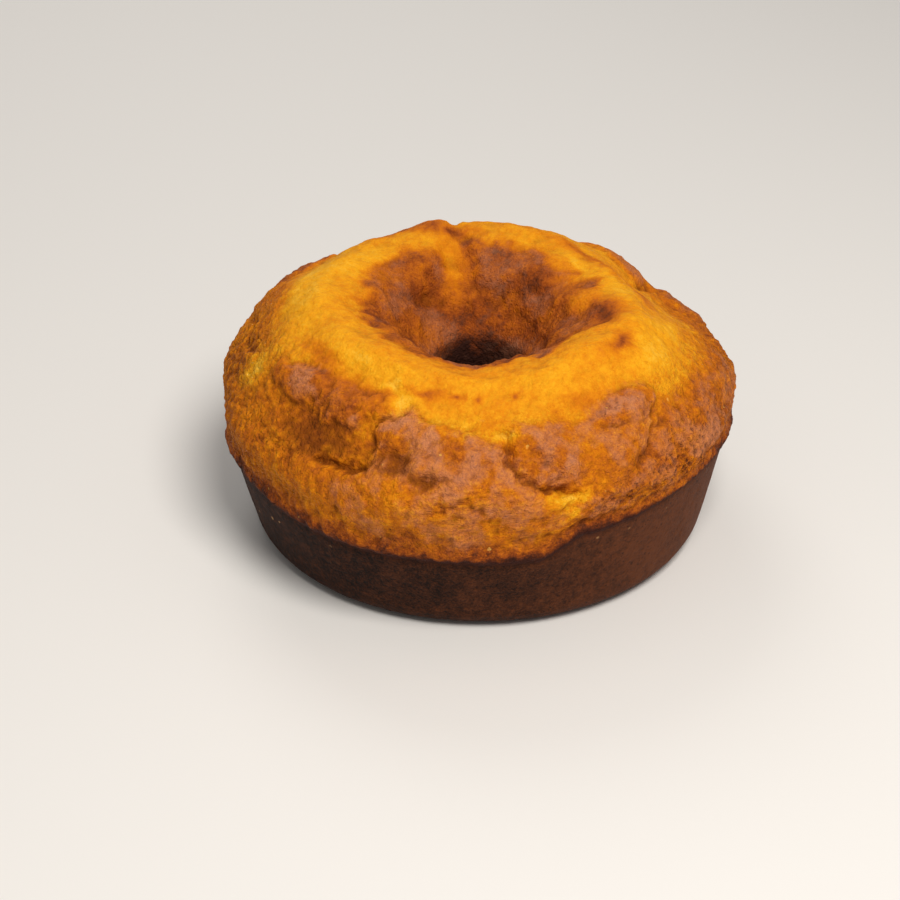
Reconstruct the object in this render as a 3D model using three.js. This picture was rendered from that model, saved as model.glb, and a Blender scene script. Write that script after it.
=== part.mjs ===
// A carrot cake baked in a tube pan, one solid ring: a smooth tapered foot that the pan shaped, a cracked
// dome that rose over the pan's rim and bulged past it, and a browned funnel that leads down to the hole.
//
// Millimetres, +Z up. The origin is the middle of the flat base. A bearing is an angle round the cake: 0 is
// the front (-Y), and it grows towards +X. A climb is the distance up the outside, along the crust.

import * as THREE from "three";
import { mergeVertices } from "three/addons/utils/BufferGeometryUtils.js";

// Driving dimensions
const cakeDiameter = 219; // widest, across the bulge of the dome
const cakeHeight = 104; // base to the crest of the ring
const crestDiameter = 128; // the ring's highest circle
const rimHeight = 43; // where the pan's rim was
const rimDiameter = 213;
const footDiameter = 172; // flat part of the base
const holeDiameter = 38; // at the foot of the funnel
const holeTaper = 6; // the hole is wider at the base by this much all round

// Sizes that follow from them
const cakeRadius = cakeDiameter / 2;
const rimRadius = rimDiameter / 2;
const crestRadius = crestDiameter / 2;
const footRadius = footDiameter / 2;
const holeRadius = holeDiameter / 2;
const bulgeHeight = 0.6 * cakeHeight; // level of the widest place
const funnelDepth = 0.32 * cakeHeight; // crest to the top of the hole
const funnelWidth = crestRadius - holeRadius;
const funnelCrest = 0.42 * funnelWidth; // how far the crest's round reaches into the funnel
const funnelFoot = { width: 0.22 * funnelWidth, height: 0.5 * funnelDepth }; // its slope down to the hole
const footRound = { width: 0.14 * footRadius, height: 0.23 * rimHeight, ease: 0.1 }; // ease 0 turns tightest
const underBulge = 6; // height of the tight turn above the rim
const domeFullness = 0.25; // 0 would be a straight slope from bulge to crest, 0.55 an ellipse

// How finely the solid is divided
const turnSteps = 124;
const frontDensity = 0.3; // how much closer the turns lie at the front than on average
const rowSteps = { base: 2, foot: 3, wall: 5, underside: 4, dome: 20, funnel: 11, tube: 2 };
const weldDistance = 1e-4;

const { clamp, degToRad, euclideanModulo, radToDeg, smoothstep } = THREE.MathUtils;
const fullTurn = 2 * Math.PI;

// Bearing difference in degrees, the short way round.
const turnBetween = (from, to) => euclideanModulo(to - from + 180, 360) - 180;

// A repeatable draw from 0 to 1 for each whole number: the fraction of a large multiple of a sine.
const drawWave = { step: 127.1, start: 11.7, height: 43758.5453 };

function draw(seed) {
  const spread = drawWave.height * Math.sin(seed * drawWave.step + drawWave.start);
  return spread - Math.floor(spread);
}

const drawBetween = (seed, low, high) => low + (high - low) * draw(seed);

// The ring's cross-section, in order: base, foot, pan wall, underside of the bulge, dome, funnel, hole.
const point = (radius, height) => new THREE.Vector2(radius, height);

function domeCurve() {
  const bulge = point(cakeRadius, bulgeHeight);
  const crest = point(crestRadius, cakeHeight);
  const overBulge = point(cakeRadius, bulgeHeight + domeFullness * (cakeHeight - bulgeHeight));
  const beforeCrest = point(crestRadius + domeFullness * (cakeRadius - crestRadius), cakeHeight);
  return new THREE.CubicBezierCurve(bulge, overBulge, beforeCrest, crest);
}

function funnelCurve() {
  const crest = point(crestRadius, cakeHeight);
  const afterCrest = point(crestRadius - funnelCrest, cakeHeight);
  const holeTop = point(holeRadius, cakeHeight - funnelDepth);
  const overHole = point(holeTop.x + funnelFoot.width, holeTop.y + funnelFoot.height);
  return new THREE.CubicBezierCurve(crest, afterCrest, overHole, holeTop);
}

function ringSection() {
  const baseEdge = point(footRadius, 0);
  const { width, height, ease } = footRound;
  const footTurn = point(footRadius + (1 - ease) * width, ease * height);
  const wallFoot = point(footRadius + width, height);
  const rim = point(rimRadius, rimHeight);
  const bulgeTurn = point(cakeRadius, rimHeight + underBulge);
  const bulge = point(cakeRadius, bulgeHeight);
  const holeTop = point(holeRadius, cakeHeight - funnelDepth);
  const holeFoot = point(holeRadius + holeTaper, 0);
  return [
    [new THREE.LineCurve(holeFoot, baseEdge), rowSteps.base],
    [new THREE.QuadraticBezierCurve(baseEdge, footTurn, wallFoot), rowSteps.foot],
    [new THREE.LineCurve(wallFoot, rim), rowSteps.wall],
    [new THREE.QuadraticBezierCurve(rim, bulgeTurn, bulge), rowSteps.underside],
    [domeCurve(), rowSteps.dome],
    [funnelCurve(), rowSteps.funnel],
    [new THREE.LineCurve(holeTop, holeFoot), rowSteps.tube],
  ].flatMap(([curve, steps]) => curve.getSpacedPoints(steps).slice(0, -1));
}

// Each row of the section has its outward direction, and its climb from the base's edge.
const section = ringSection();
const baseEdgeRow = rowSteps.base;
const rimRow = baseEdgeRow + rowSteps.foot + rowSteps.wall;
const bulgeRow = rimRow + rowSteps.underside;
const crestRow = bulgeRow + rowSteps.dome;
const holeTopRow = crestRow + rowSteps.funnel;

const rows = section.map((place, k) => {
  const before = section.at(k - 1);
  const after = section[(k + 1) % section.length];
  const along = after.clone().sub(before).normalize();
  return { place, outward: point(along.y, -along.x), climb: 0 };
});
for (let k = baseEdgeRow + 1; k < rows.length; k += 1) {
  rows[k].climb = rows[k - 1].climb + rows[k].place.distanceTo(rows[k - 1].place);
}
const rimClimb = rows[rimRow].climb;
const bulgeClimb = rows[bulgeRow].climb;
const crestClimb = rows[crestRow].climb;
const holeTopClimb = rows[holeTopRow].climb;

// A place on the crust is { bearing, climb, radius }. This is how far round the cake it is from a bearing.
const acrossCrust = (from, { bearing, radius }) => degToRad(turnBetween(from, bearing)) * radius;

// The height of the pan's rim line round the cake, as [bearing, height]: the batter crept up on the right.
const rimLine = [
  [-180, 44],
  [-120, 43.5],
  [-62, 42],
  [-28, 39.5],
  [12, 39],
  [24, 48],
  [54, 51.5],
  [125, 46],
];

function rimRise(bearing) {
  const turn = euclideanModulo(bearing + 180, 360) - 180;
  const next = rimLine.findIndex(([at]) => at > turn);
  const [lowAt, low] = rimLine.at(next - 1 < 0 ? -1 : next - 1);
  const [highAt, high] = next < 0 ? [rimLine[0][0] + 360, rimLine[0][1]] : rimLine[next];
  return low + (high - low) * smoothstep(turn, lowAt, highAt) - rimHeight;
}

// Rows near the rim line go up and down with it.
const rimDrag = { from: 0.35 * rimClimb, to: bulgeClimb + 8 };

function rimShare(climb) {
  return smoothstep(climb, rimDrag.from, rimClimb) * (1 - smoothstep(climb, rimClimb, rimDrag.to));
}

// The ways from a run's points to a place, on the crust unrolled about the run's middle: x across, y up.
function flatWays(run, place) {
  const middle = run.reduce((sum, [bearing]) => sum + bearing, 0) / run.length;
  const turn = turnBetween(middle, place.bearing) + middle;
  return run.map(([bearing, climb]) => point(degToRad(turn - bearing) * place.radius, place.climb - climb));
}

// How far a place is from the stretch between two points, from its ways to them.
function legDistance(start, end) {
  const leg = end.clone().sub(start);
  const share = clamp(-start.dot(leg) / leg.lengthSq(), 0, 1);
  return start.clone().addScaledVector(leg, share).length();
}

// Crust plates that broke apart as the dome rose. An outline is a run of [bearing, climb]. A plate stands
// proud by its rise in millimetres, and sinks back into the dome towards its merge angle in degrees, where
// 0 is to the right and 90 up the crust.
const frontPlates = [
  {
    // low left
    outline: [
      [-88, 84], [-70, 82], [-58, 79], [-48, 79], [-37, 81.5], [-27, 83], [-30, 70], [-45, 60], [-75, 60],
    ],
    rise: 1.6,
    merge: -90,
  },
  {
    // right
    outline: [
      [20, 72], [27, 75], [34, 77.5], [40, 82.5], [44, 87.5], [48, 92], [53, 94], [61, 93.5], [68, 95],
      [78, 94], [92, 90], [95, 70], [90, 60], [55, 57], [30, 57], [18.5, 62],
    ],
    rise: 1.4,
    merge: -75,
  },
  {
    // right of the middle, a smooth slope
    outline: [
      [19, 106], [28, 107], [36, 100], [44, 98.5], [48, 95], [45, 90], [41.5, 86], [37, 81.5], [32, 81.5],
      [26, 86], [21, 92],
    ],
    rise: 1.9,
    merge: -150,
  },
  {
    // right of the middle, beside the gap
    outline: [
      [8, 104], [9.5, 107], [14, 107.5], [18.5, 107], [22.5, 103], [24, 96], [24.5, 89], [23.5, 83],
      [20.5, 79], [17, 80.5], [13.5, 82.5], [10, 87.5], [8, 94.5],
    ],
    rise: 1.6,
    merge: 15,
  },
  {
    // upper left
    outline: [
      [-66, 101], [-65, 106], [-58, 111], [-48, 116], [-40, 118], [-30, 118.5], [-22, 118], [-24, 113],
      [-30, 108], [-32, 99.5], [-38, 99], [-43.5, 99], [-47, 101.5], [-53, 98.5], [-60, 99],
    ],
    rise: 3.6,
    merge: 90,
  },
  {
    // low front, joined to the middle plate
    outline: [
      [-25.5, 97], [-20, 104], [-8, 104], [0.5, 102], [6, 98], [7.5, 93], [9.5, 87], [13.5, 81.5], [20.5, 77],
      [18, 70], [15, 62], [-5, 58], [-22, 60], [-32, 70], [-33, 79], [-26, 83.5],
    ],
    rise: 3,
    merge: -85,
  },
  {
    // middle
    outline: [
      [-25.5, 98], [-26.5, 104], [-23.5, 107], [-19, 111.5], [-11, 107], [0.5, 102.5], [6, 98.5], [7.5, 91],
      [9, 84], [-8.5, 84], [-17, 85.5], [-24, 86.5],
    ],
    rise: 4.6,
    merge: -35,
  },
  {
    // upper right lobe
    outline: [
      [28, 104], [32.5, 109], [40, 112], [48, 109], [51.7, 103], [49, 99], [42.5, 97.5], [34.5, 99],
    ],
    rise: 3.2,
    merge: 115,
  },
];

// The rest of the dome has plates of the same kinds, spread in two staggered rows, each from these draws.
const backPlateSpan = { from: 112, to: 246 };
const backPlateRows = [
  { climb: 71, count: 4 },
  { climb: 102, count: 4 },
];
const backPlateDraws = {
  step: [0.05, 0.45], // along the row, in shares of the plates' spacing
  up: [-5, 5],
  halfTurn: [11, 17], // half width, in degrees
  halfHeight: [10, 16],
  rise: [2, 3.4],
  merge: [-180, 180],
};
const backPlateCorners = { count: 12, wobble: 0.2, firstSeed: 100 };
const seedsPerPlate = 10;

function makeBackPlate(bearing, climb, seed) {
  const { halfTurn, halfHeight, rise, merge } = backPlateDraws;
  const { count, wobble, firstSeed } = backPlateCorners;
  const wide = drawBetween(seed + 3, ...halfTurn);
  const high = drawBetween(seed + 4, ...halfHeight);
  const outline = Array.from({ length: count }, (_, corner) => {
    const around = (fullTurn * corner) / count;
    const reach = 1 + drawBetween(firstSeed + 2 * seedsPerPlate * seed + corner, -wobble, wobble);
    return [bearing + wide * reach * Math.cos(around), climb + high * reach * Math.sin(around)];
  });
  return { outline, rise: drawBetween(seed + 5, ...rise), merge: drawBetween(seed + 6, ...merge) };
}

function makeBackPlates() {
  return backPlateRows.flatMap(({ climb, count }, row) => {
    const spacing = (backPlateSpan.to - backPlateSpan.from) / count;
    return Array.from({ length: count }, (_, place) => {
      const seed = seedsPerPlate * (row * count + place);
      const step = place + row / backPlateRows.length + drawBetween(seed + 1, ...backPlateDraws.step);
      const up = drawBetween(seed + 2, ...backPlateDraws.up);
      return makeBackPlate(backPlateSpan.from + spacing * step, climb + up, seed);
    });
  });
}

const plates = [...frontPlates, ...makeBackPlates()];
const plateEdge = 4; // a plate's edge slopes over this distance each side of its outline
const platePuff = { share: 0.35, over: 9 }; // the share of its rise that it gains over this distance inside
const mergeFrom = 0.1; // where a plate starts to sink back, from its middle, in shares of its reach
const mergeTo = 0.95;

function plateRise({ outline, rise, merge }, place) {
  const ways = flatWays(outline, place);
  let distance = Infinity;
  let inside = false;
  ways.forEach((start, k) => {
    const end = ways[(k + 1) % ways.length];
    distance = Math.min(distance, legDistance(start, end));
    const spans = start.y > 0 !== end.y > 0;
    if (spans && start.x - (start.y * (end.x - start.x)) / (end.y - start.y) > 0) inside = !inside;
  });
  const within = inside ? distance : -distance;
  const towards = point(Math.cos(degToRad(merge)), Math.sin(degToRad(merge)));
  const middle = ways.reduce((sum, way) => sum.add(way), point(0, 0)).divideScalar(ways.length);
  const reach = Math.max(...ways.map((way) => Math.abs(middle.clone().sub(way).dot(towards))));
  const merged = smoothstep(middle.dot(towards) / reach, mergeFrom, mergeTo);
  const puff = 1 - platePuff.share * (1 - smoothstep(within, 0, platePuff.over));
  return rise * puff * (1 - merged) * smoothstep(within, -plateEdge, plateEdge);
}

// Splits between the plates: runs of [bearing, climb], each with a depth and a half width.
const splits = [
  { depth: 2.2, halfWidth: 5.5, run: [[-37.5, 82.5], [-31, 83.8], [-25.5, 86]] },
  { depth: 1, halfWidth: 4, run: [[-26, 88], [-26.5, 99]] },
  { depth: 1.2, halfWidth: 4, run: [[-20, 113], [-24, 118], [-28.5, 124]] },
  { depth: 2.2, halfWidth: 6, run: [[6.5, 105], [7.3, 94.5], [9.3, 87], [13.3, 81.2], [21.7, 77]] },
  { depth: 0.6, halfWidth: 4, run: [[27, 80], [21, 75], [18.5, 69]] },
  { depth: 1.8, halfWidth: 4, run: [[49.5, 95], [45.6, 90.2], [42.5, 86.2], [37, 80.5]] },
  { depth: 2.6, halfWidth: 4.5, run: [[-171, 113], [-170, 130], [-172, 146]] },
  { depth: 2.8, halfWidth: 5, run: [[112, 86], [124, 98], [121, 114]] },
  { depth: 2.8, halfWidth: 5, run: [[205, 84], [212, 97], [226, 102]] },
  { depth: 2.4, halfWidth: 5, run: [[150, 88], [163, 84], [176, 92]] },
  { depth: 2, halfWidth: 4, run: [[-104, 90], [-96, 95], [-89, 93], [-82, 99]] },
];

function splitDepth({ depth, halfWidth, run }, place) {
  const ways = flatWays(run, place);
  const distance = Math.min(...ways.slice(1).map((end, k) => legDistance(ways[k], end)));
  return depth * Math.exp(-((distance / halfWidth) ** 2));
}

// Round lumps (a rise above 0) and dents (below 0), on the dome and in the funnel.
const knobs = [
  { bearing: -12.3, climb: 88.8, radius: 5, rise: 4.6 },
  { bearing: -11.5, climb: 83, radius: 5, rise: -1.8 },
  { bearing: -18.5, climb: 90, radius: 5.5, rise: -3.4 },
  { bearing: 20.3, climb: 92, radius: 6.5, rise: 3 },
  { bearing: 13.5, climb: 102, radius: 6, rise: 1.4 },
  { bearing: 17.4, climb: 81, radius: 5, rise: -2 },
  { bearing: 34, climb: 90, radius: 9, rise: 1 },
  { bearing: -46, climb: 90, radius: 15, rise: -3.2 },
  { bearing: -3, climb: 66, radius: 30, rise: 1 },
  { bearing: -2, climb: 80, radius: 8, rise: 1.4 },
  { bearing: 0, climb: 144, radius: 38, rise: -4.5 },
  { bearing: -143, climb: 157, radius: 11, rise: 3 },
  { bearing: 146, climb: 155, radius: 11, rise: 2.8 },
  { bearing: -140, climb: 170, radius: 8, rise: -2.6 },
  { bearing: 172, climb: 156, radius: 11, rise: 3 },
  { bearing: -164, climb: 158, radius: 6, rise: -2 },
  { bearing: -105, climb: 156, radius: 9, rise: 2.2 },
  { bearing: 103, climb: 156, radius: 9, rise: 2.2 },
  { bearing: 73, climb: 146.5, radius: 7, rise: -2.2 },
  { bearing: 20, climb: 160, radius: 10, rise: 1.8 },
  { bearing: -48, climb: 158, radius: 9, rise: 2 },
  { bearing: 113, climb: 109, radius: 34, rise: -8 },
  { bearing: -105, climb: 105, radius: 24, rise: 3 },
  { bearing: 158, climb: 137, radius: 16, rise: 1.6 },
];

function knobRise(knob, place) {
  const across = acrossCrust(knob.bearing, place);
  return knob.rise * Math.exp(-((across ** 2 + (place.climb - knob.climb) ** 2) / knob.radius ** 2));
}

// Long soft swells that wind round the cake, so that no two sides are alike.
const swells = [
  { lobes: 2, climbStep: 160, height: 0.9, phase: 0.6 },
  { lobes: -3, climbStep: 90, height: 0.8, phase: 2.1 },
  { lobes: 5, climbStep: 70, height: 0.6, phase: 4.4 },
  { lobes: -9, climbStep: 45, height: 0.45, phase: 1.2 },
  { lobes: 14, climbStep: 33, height: 0.35, phase: 3.5 },
];

const swellRise = ({ lobes, climbStep, height, phase }, { bearing, climb }) =>
  height * Math.sin(lobes * degToRad(bearing) + (fullTurn * climb) / climbStep + phase);

const swellFade = 40; // and that die out over this distance down the funnel

// How far the crust stands out from the plain section. The pan kept the foot and the hole's wall smooth.
const brow = { above: 3.5, halfWidth: 4.5, rise: 1.2 }; // the dome's lower edge stands out over the rim line
const brokenOver = 7; // the relief grows over this distance above the rim line
const plumbFade = 14; // the funnel's lumps die out over this distance above the hole
const gapSink = 1; // the gaps lie this much inside the plain section, and the plates' tops outside it
const gapFade = 16; // up to the crest, where there are no plates

function relief(place) {
  const { climb } = place;
  const broken =
    smoothstep(climb, rimClimb, rimClimb + brokenOver) *
    (1 - smoothstep(climb, holeTopClimb - plumbFade, holeTopClimb));
  const plate = Math.max(...plates.map((each) => plateRise(each, place)));
  const split = Math.max(...splits.map((each) => splitDepth(each, place)));
  const knob = knobs.reduce((sum, each) => sum + knobRise(each, place), 0);
  const swellShare = 1 - smoothstep(climb, crestClimb, crestClimb + swellFade);
  const swell = swellShare * swells.reduce((sum, each) => sum + swellRise(each, place), 0);
  const sink = gapSink * (1 - smoothstep(climb, crestClimb - gapFade, crestClimb));
  const edge = brow.rise * Math.exp(-(((climb - rimClimb - brow.above) / brow.halfWidth) ** 2));
  return broken * (plate - sink - split + knob + swell) + edge;
}

function turnBearing(turn) {
  const side = (fullTurn * turn) / turnSteps;
  return radToDeg(side - frontDensity * Math.sin(side));
}

function cakeGeometry() {
  const outline = [...section, section[0]];
  const geometry = new THREE.LatheGeometry(outline, turnSteps);
  const positions = geometry.getAttribute("position");
  for (let turn = 0; turn <= turnSteps; turn += 1) {
    const bearing = turnBearing(turn % turnSteps);
    const side = degToRad(bearing);
    for (let k = 0; k < outline.length; k += 1) {
      const { place, outward, climb } = rows[k % rows.length];
      const lift = relief({ bearing, climb, radius: place.x });
      const radius = place.x + outward.x * lift;
      const height = place.y + outward.y * lift + rimRise(bearing) * rimShare(climb);
      positions.setXYZ(turn * outline.length + k, radius * Math.sin(side), height, radius * Math.cos(side));
    }
  }
  geometry.deleteAttribute("normal");
  geometry.deleteAttribute("uv");
  geometry.rotateX(Math.PI / 2);
  const closed = mergeVertices(geometry, weldDistance);
  closed.computeVertexNormals();
  return closed;
}

const crust = new THREE.MeshStandardMaterial({ color: 0xc98238, roughness: 0.8, metalness: 0 });

const cake = new THREE.Mesh(cakeGeometry(), crust);
cake.name = "cake";

const carrotCake = new THREE.Group();
carrotCake.add(cake);

export default carrotCake;
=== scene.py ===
import math
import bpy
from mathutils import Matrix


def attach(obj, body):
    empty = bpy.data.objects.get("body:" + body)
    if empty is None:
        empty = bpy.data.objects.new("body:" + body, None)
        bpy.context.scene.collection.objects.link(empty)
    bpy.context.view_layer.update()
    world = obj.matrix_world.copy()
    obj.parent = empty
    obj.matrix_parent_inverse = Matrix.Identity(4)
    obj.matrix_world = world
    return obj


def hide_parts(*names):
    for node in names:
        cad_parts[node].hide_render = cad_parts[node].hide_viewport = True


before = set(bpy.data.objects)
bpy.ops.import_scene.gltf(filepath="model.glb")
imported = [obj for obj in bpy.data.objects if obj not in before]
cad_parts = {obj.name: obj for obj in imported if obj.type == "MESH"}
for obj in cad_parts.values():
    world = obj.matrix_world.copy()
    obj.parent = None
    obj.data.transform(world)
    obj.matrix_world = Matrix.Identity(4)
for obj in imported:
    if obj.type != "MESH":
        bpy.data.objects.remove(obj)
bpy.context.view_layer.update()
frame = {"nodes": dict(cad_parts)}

from types import SimpleNamespace

import bpy
import numpy as np
from mathutils import Euler, Vector, noise

print("frame loaded:", ", ".join(frame["nodes"]))

# Lengths of the cake are in millimetres here, and become metres where a mesh is made.
# A bearing is in degrees round the cake from the front, growing to the right.
# A climb is the distance up the outside, along the crust, from the edge of the base.
mm = 0.001

cakeForm = {
    "diameter": 219,  # across the bulge of the dome
    "height": 104,
    "crestDiameter": 128,
    "rimHeight": 43,  # where the pan ended
    "rimDiameter": 213,
    "footDiameter": 172,
    "holeDiameter": 38,  # at the foot of the funnel
    "holeTaper": 6,  # wider at the base by this much all round
    "bulgeLevel": 0.6,  # of the height
    "funnelDepth": 0.32,  # of the height
    "funnelCrest": 0.42,  # how far the crest's round reaches, of the funnel's width
    "funnelFoot": (0.22, 0.5),  # how the slope ends at the hole, of the width and of the depth
    "footRound": (0.14, 0.23),  # of the foot's radius, and of the rim's height
    "footEase": 0.1,
    "underBulge": 6,
    "domeFullness": 0.25,
    "turns": 600,
    "frontDensity": 0.3,  # how much closer the turns lie at the front than on average
    "rows": {"base": 3, "foot": 6, "wall": 20, "underside": 14, "dome": 72, "funnel": 36, "tube": 7},
}


def smooth(value, low, high):  # eased from 0 at low to 1 at high
    share = np.clip((value - low) / (high - low), 0, 1)
    return share * share * (3 - 2 * share)


def hump(value, middle, halfWidth):
    return np.exp(-(((value - middle) / halfWidth) ** 2))


def blend(first, second, share):
    return first + (second - first) * share


def fromFront(bearing):  # the same bearing, from -180 to 180
    return (bearing + 180) % 360 - 180


drawWave = {"step": 127.1, "start": 11.7, "height": 43758.5453}


def draw(seed):  # a repeatable draw from 0 to 1 for each whole number
    spread = math.sin(seed * drawWave["step"] + drawWave["start"]) * drawWave["height"]
    return spread - math.floor(spread)


def drawBetween(seed, low, high):
    return low + (high - low) * draw(seed)


# Section of the ring, from the hole's foot round the outside and back down the hole

def bezier(*corners):
    def at(share):
        points = np.repeat(np.array(corners, float)[None], len(share), 0)
        while points.shape[1] > 1:
            points = points[:, :-1] + np.diff(points, axis=1) * share[:, None, None]
        return points[:, 0]
    return at


def evenly(curve, steps, samples=400):  # points at even steps along a curve, without its end
    points = curve(np.linspace(0, 1, samples))
    run = np.concatenate([[0], np.cumsum(np.linalg.norm(np.diff(points, axis=0), axis=1))])
    wanted = np.linspace(0, run[-1], steps + 1)[:-1]
    return np.stack([np.interp(wanted, run, points[:, k]) for k in (0, 1)], 1)


def makeSection(form):
    bulgeRadius, rimRadius = form["diameter"] / 2, form["rimDiameter"] / 2
    crestRadius, footRadius = form["crestDiameter"] / 2, form["footDiameter"] / 2
    holeRadius, height, rimHeight = form["holeDiameter"] / 2, form["height"], form["rimHeight"]
    bulgeHeight = form["bulgeLevel"] * height
    funnelWidth, funnelDepth = crestRadius - holeRadius, form["funnelDepth"] * height
    roundWidth, roundHeight = form["footRound"][0] * footRadius, form["footRound"][1] * rimHeight
    slopeAcross, slopeUp = form["funnelFoot"]
    ease, fullness = form["footEase"], form["domeFullness"]
    holeFoot, holeTop = (holeRadius + form["holeTaper"], 0), (holeRadius, height - funnelDepth)
    baseEdge = (footRadius, 0)
    footTurn = (footRadius + (1 - ease) * roundWidth, ease * roundHeight)
    wallFoot, rim = (footRadius + roundWidth, roundHeight), (rimRadius, rimHeight)
    bulgeTurn, bulge = (bulgeRadius, rimHeight + form["underBulge"]), (bulgeRadius, bulgeHeight)
    overBulge = (bulgeRadius, bulgeHeight + fullness * (height - bulgeHeight))
    beforeCrest = (crestRadius + fullness * (bulgeRadius - crestRadius), height)
    crest = (crestRadius, height)
    afterCrest = (crestRadius - form["funnelCrest"] * funnelWidth, height)
    overHole = (holeRadius + slopeAcross * funnelWidth, holeTop[1] + slopeUp * funnelDepth)
    stretches = {
        "base": bezier(holeFoot, baseEdge),
        "foot": bezier(baseEdge, footTurn, wallFoot),
        "wall": bezier(wallFoot, rim),
        "underside": bezier(rim, bulgeTurn, bulge),
        "dome": bezier(bulge, overBulge, beforeCrest, crest),
        "funnel": bezier(crest, afterCrest, overHole, holeTop),
        "tube": bezier(holeTop, holeFoot),
    }
    points = np.concatenate([evenly(curve, form["rows"][name]) for name, curve in stretches.items()])
    starts = dict(zip(stretches, np.cumsum([0] + list(form["rows"].values()))))
    along = np.roll(points, -1, 0) - np.roll(points, 1, 0)
    along /= np.linalg.norm(along, axis=1)[:, None]
    steps = np.linalg.norm(points - np.roll(points, 1, 0), axis=1)
    steps[0] = 0
    run = np.cumsum(steps)
    climb = np.maximum(run - run[starts["foot"]], 0)
    return SimpleNamespace(
        points=points,
        outward=np.stack([along[:, 1], -along[:, 0]], 1),
        run=run,
        climb=climb,
        rim=climb[starts["underside"]],
        bulge=climb[starts["dome"]],
        crest=climb[starts["funnel"]],
        holeTop=climb[starts["tube"]],
    )


section = makeSection(cakeForm)
print(
    f"section: rim {section.rim:.1f}, bulge {section.bulge:.1f}, "
    f"crest {section.crest:.1f}, hole {section.holeTop:.1f}"
)


# Places on the crust, as a grid of turns by rows

def makePlace(form):
    turn = np.arange(form["turns"]) / form["turns"]
    turn = turn - form["frontDensity"] * np.sin(2 * math.pi * turn) / (2 * math.pi)
    bearing = np.repeat(360 * turn, len(section.points))
    row = np.tile(np.arange(len(section.points)), form["turns"])
    radius, height = section.points[row].T
    side = np.radians(bearing)
    return SimpleNamespace(
        bearing=bearing,
        row=row,
        radius=radius,
        climb=section.climb[row],
        side=side,
        spot=np.stack([radius * np.sin(side), -radius * np.cos(side), height], 1),
    )


def spreadOut(values, steps):  # the mean of a value's surroundings on the grid
    grid = values.reshape(cakeForm["turns"], -1)
    for _ in range(steps):
        grid = (grid + np.roll(grid, 1, 0) + np.roll(grid, -1, 0)) / 3
        grid = (grid + np.roll(grid, 1, 1) + np.roll(grid, -1, 1)) / 3
    return grid.ravel()


def spotCover(place, bearing, climb, halfWidth, halfHeight):  # a soft round patch
    across = np.radians(fromFront(place.bearing - bearing)) * place.radius / halfWidth
    up = (place.climb - climb) / halfHeight
    return np.exp(-(across**2 + up**2))


def patchCover(place, patches):
    cover = np.zeros(len(place.climb))
    for bearing, climb, halfWidth, halfHeight, strength in patches:
        cover = np.maximum(cover, strength * spotCover(place, bearing, climb, halfWidth, halfHeight))
    return cover


# Noise in the crust

crustNoise = {
    "turn": (0.5, 0.8, 0.3),  # turns the noise's own grid out of line with the cake
    "falloff": 1.0,
    "octaveStep": 2.0,
    "layers": {  # strength, size, octaves, shift
        "swayAcross": (1, 9, 2, 3.1),
        "frayAcross": (0.6, 3.6, 2, 9.4),
        "swayUp": (1, 9, 2, 8.1),
        "frayUp": (0.6, 3.6, 2, 14.4),
        "hills": (0.4, 17, 2, 1.7),
        "hummocks": (0.6, 7, 3, 7.3),
        "nubs": (1, 3.6, 2, 2.9),
        "crumbClumps": (0.6, 4.6, 2, 5.9),
        "crumbGrain": (0.5, 2.6, 2, 8.1),
        "poreWalls": (0.4, 3, 2, 4.9),
        "streaks": (1, 8, 3, 4.4),
        "flakes": (1, 6.5, 3, 8.8),
        "funnelLumps": (2.2, 14, 3, 6.1),
        "funnelGrain": (0.6, 5, 3, 3.3),
        "funnelEdge": (6, 12, 3, 2.2),
        "goldEdge": (4, 12, 2, 4.4),
        "sheenGaps": (1, 9, 3, 7.7),
        "funnelSheen": (1, 15, 2, 3.9),
        "brow": (0.45, 5, 3, 1.1),
        "rimLine": (0.7, 7, 3, 6.6),
        "panWall": (0.14, 14, 2, 5.5),
    },
    "pits": {  # depth, size, shift, and where a pit ends and is deepest, in sizes from its middle
        "nubs": (0.6, 4, 1.3, 0.3, 0.05),
        "pores": (0.9, 3.4, 2.5, 0.45, 0.12),
        "panWall": (0.3, 6, 7.7, 0.2, 0.05),
    },
}
askew = np.array(Euler(crustNoise["turn"]).to_matrix())


def noisePoints(spot, size, shift):
    return (spot @ askew / size + shift).tolist()


def layer(spot, name):  # fractal noise, up and down by about its strength
    strength, size, octaves, shift = crustNoise["layers"][name]
    falloff, step = crustNoise["falloff"], crustNoise["octaveStep"]
    points = noisePoints(spot, size, shift)
    return strength * np.array([noise.fractal(point, falloff, step, octaves) for point in points])


def pits(spot, name):  # how deep the pits are
    depth, size, shift, end, deepest = crustNoise["pits"][name]
    away = np.array([noise.voronoi(point)[0][0] for point in noisePoints(spot, size, shift)])
    return depth * smooth(away, end, deepest)


wanderReach = 2.4


def wander(place):  # the same places with a ragged shift, so that every outline frays
    across = layer(place.spot, "swayAcross") + layer(place.spot, "frayAcross")
    up = layer(place.spot, "swayUp") + layer(place.spot, "frayUp")
    return SimpleNamespace(
        bearing=place.bearing + np.degrees(wanderReach * across / place.radius),
        climb=place.climb + wanderReach * up,
        radius=place.radius,
    )
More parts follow.
